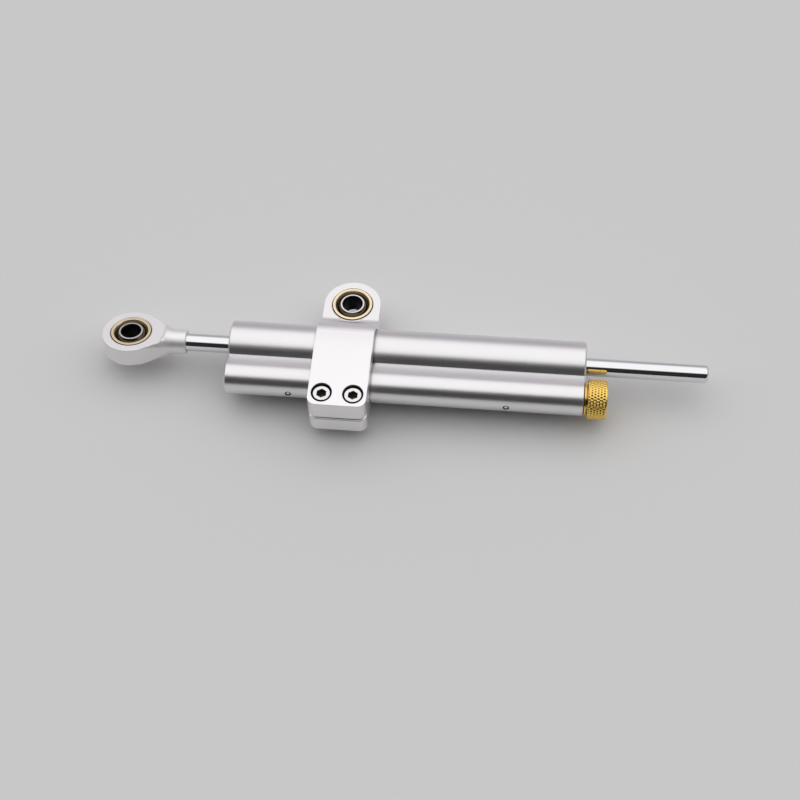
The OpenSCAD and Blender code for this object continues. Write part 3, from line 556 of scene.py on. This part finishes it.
def knurled_bar(low_x, high_x, y, z, radius):
    """Closed bar along X with crossed spiral grooves, deepest where they cross."""
    pitch = 2 * math.pi * radius / KNURL_TEETH
    step = pitch / math.tan(KNURL_LEAN) / KNURL_CELLS
    rows = math.ceil((high_x - low_x) / step)
    around = KNURL_TEETH * KNURL_CELLS
    bm = bmesh.new()
    grid = []
    for row in range(rows + 1):
        x = low_x + row * step
        ring = []
        for column in range(around):
            r = radius - knurl_cut(row, column)
            angle = 2 * math.pi * column / around
            ring.append(bm.verts.new((x, y + r * math.cos(angle), z + r * math.sin(angle))))
        grid.append(ring)
    for a, b in zip(grid, grid[1:]):
        for i in range(around):
            j = (i + 1) % around
            bm.faces.new((a[i], a[j], b[j], b[i]))
    bm.faces.new(grid[0][::-1])
    bm.faces.new(grid[-1])
    bmesh.ops.recalc_face_normals(bm, faces=bm.faces)
    return bm


def common_part(bm, cutter):
    """What two closed shapes share."""
    body, tool = as_object(bm, "cut_body"), as_object(cutter, "cut_tool")
    cut = body.modifiers.new("cut", "BOOLEAN")
    cut.operation, cut.solver, cut.object = "INTERSECT", "EXACT", tool
    mesh = bpy.data.meshes.new_from_object(body.evaluated_get(bpy.context.evaluated_depsgraph_get()))
    result = bmesh.new()
    result.from_mesh(mesh)
    for used in (body.data, tool.data, mesh):
        bpy.data.meshes.remove(used)
    return result


def make_knob():
    """Knurled knob whose grooves are painted dark between the plain ends, as painted shade."""
    low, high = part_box("adjuster_knob")
    y, z = middle("adjuster_knob").yz
    radius = (high.y - low.y) / 2 - KNURL_INSET
    end = 0.4 * MM
    line = (Vector((low.x, y, z)), (1, 0, 0))
    grooves = Zone(*line, inner=radius - 2 * KNURL_DEPTH, outer=radius - KNURL_SHADE_SHARE * KNURL_DEPTH,
                   low=end, high=high.x - low.x - end, colour=GROOVE_SHADE_GOLD, dull=0.1)
    gold = metal("gold_knurled", GOLD, rough=0.22, zones=[grooves])
    bar = knurled_bar(low.x - MM, high.x + MM, y, z, radius)
    stand_for(common_part(welded("adjuster_knob"), bar), "adjuster_knob", gold)


make_knob()


# Small steel pieces and seals

STEEL = (0.74, 0.74, 0.75)
bright = metal("bright_steel", STEEL, rough=0.24, crevice_shade_reach=0.5 * MM)
coat(bright, "gland_circlip_left", "gland_circlip_right", "rod_clips", "valve_needle", "knob_grub_screw",
     "detent_spring", "detent_ball")


def make_reservoir_spring():
    """Spring that stays on the plug at one end and follows the floating piston at the other."""
    low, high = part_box("reservoir_spring")
    y, z = middle("reservoir_spring").yz
    spring = finished(welded("reservoir_spring"), "reservoir_spring", bright)
    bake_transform(spring, "barrel", "floating_piston", start=(low.x, y, z), end=(high.x, y, z))


def make_port_plugs():
    """Domed plugs whose rims are painted black, as painted shade in the gap round each plug."""
    low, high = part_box("port_plugs")
    plug_r = (high.z - low.z) / 2
    rim_r = 0.55 * plug_r
    z = middle("port_plugs").z
    rims = []
    for x in (low.x + plug_r, high.x - plug_r):
        line = (Vector((x, low.y, z)), (0, 1, 0))
        # Painted shade: the rim round each plug's dome is black.
        rims.append(Zone(*line, inner=rim_r, outer=2 * plug_r, low=-MM, high=10 * MM,
                         colour=PAINTED_SHADE_BLACK, dull=PAINTED_BLACK_DULL))
    coat(metal("bright_steel_plugs", STEEL, rough=0.2, zones=rims), "port_plugs")


def make_rubber():
    material, s = new_material("black_rubber")
    tone = s.mix(s.noise(scale=900.0), rgba((0.012, 0.012, 0.013)), rgba((0.024, 0.024, 0.026)))
    rough = s.ramp(s.noise(scale=2500.0), NOISE_LOW, NOISE_HIGH, to_low=0.5, to_high=0.65)
    s.put(s.bsdf.inputs["Base Color"], tone)
    s.put(s.bsdf.inputs["Roughness"], rough)
    return material


make_reservoir_spring()
make_port_plugs()
coat(make_rubber(), "rod_seal_left", "rod_seal_right", "rod_wiper_left", "rod_wiper_right",
     "gland_oring_left", "gland_oring_right", "reservoir_plug_oring", "floating_piston_oring",
     "valve_orings", "needle_oring")


# Floor and light

FLOOR_HALF = 30.0
FLOOR_GAP = 0.02 * MM
FLOOR_COLOUR = (0.73, 0.73, 0.73)

# Overhead light: its level, and the slopes away from straight up between which it fades
OVERHEAD_LIGHT = (1.15, 1.15, 1.15)
OVERHEAD_SIDES = (4.5, 2.2)
OVERHEAD_FRONT = (-0.80, -0.48)
OVERHEAD_BEHIND = (1.8, 0.6)

# Least height of a direction, so that slopes near the horizon stay finite
LEAST_UP = 0.02

# Walls: their tint, and the Y of a direction between which they go from front level to back level
WALL_TINT = (1.02, 0.955, 1.03)
WALL_FRONT_Y, WALL_BACK_Y = -0.1, 0.5
WALL_FRONT_LEVEL, WALL_BACK_LEVEL = 0.025, 0.47


def make_floor():
    z = cad_box[0].z - FLOOR_GAP
    corners = [(-1, -1), (1, -1), (1, 1), (-1, 1)]
    mesh = bpy.data.meshes.new("floor")
    mesh.from_pydata([(FLOOR_HALF * x, FLOOR_HALF * y, z) for x, y in corners], [], [(0, 1, 2, 3)])
    floor = add_object("floor", mesh)
    material, s = new_material("floor")
    s.bsdf.inputs["Base Color"].default_value = rgba(FLOOR_COLOUR)
    s.bsdf.inputs["Roughness"].default_value = 0.9
    s.bsdf.inputs["Specular IOR Level"].default_value = 0.0
    mesh.materials.append(material)


def make_world():
    """A wide soft light overhead, a pale wall behind and a dim room in front."""
    world = bpy.data.worlds.new("studio")
    bpy.context.scene.world = world
    world.use_nodes = True
    s = Shade(world.node_tree)
    direction = s.add("ShaderNodeTexCoord").outputs["Generated"]
    x, y, z = s.add("ShaderNodeSeparateXYZ", {"Vector": direction}).outputs
    up = s.math("MAXIMUM", z, LEAST_UP)
    sideways = s.math("ABSOLUTE", s.math("DIVIDE", x, up))
    backwards = s.math("DIVIDE", y, up)
    across = s.ramp(sideways, *OVERHEAD_SIDES, smooth=True)
    front = s.ramp(backwards, *OVERHEAD_FRONT, smooth=True)
    behind = s.ramp(backwards, *OVERHEAD_BEHIND, smooth=True)
    overhead = s.times(across, s.times(front, behind))
    room = s.ramp(y, WALL_FRONT_Y, WALL_BACK_Y, WALL_FRONT_LEVEL, WALL_BACK_LEVEL)
    tinted = {channel: s.times(room, tint) for channel, tint in enumerate(WALL_TINT)}
    walls = s.add("ShaderNodeCombineColor", tinted)
    background = world.node_tree.nodes["Background"]
    s.put(background.inputs["Color"], s.mix(overhead, walls, rgba(OVERHEAD_LIGHT)))


make_floor()
make_world()
bpy.context.scene.view_settings.view_transform = "Standard"
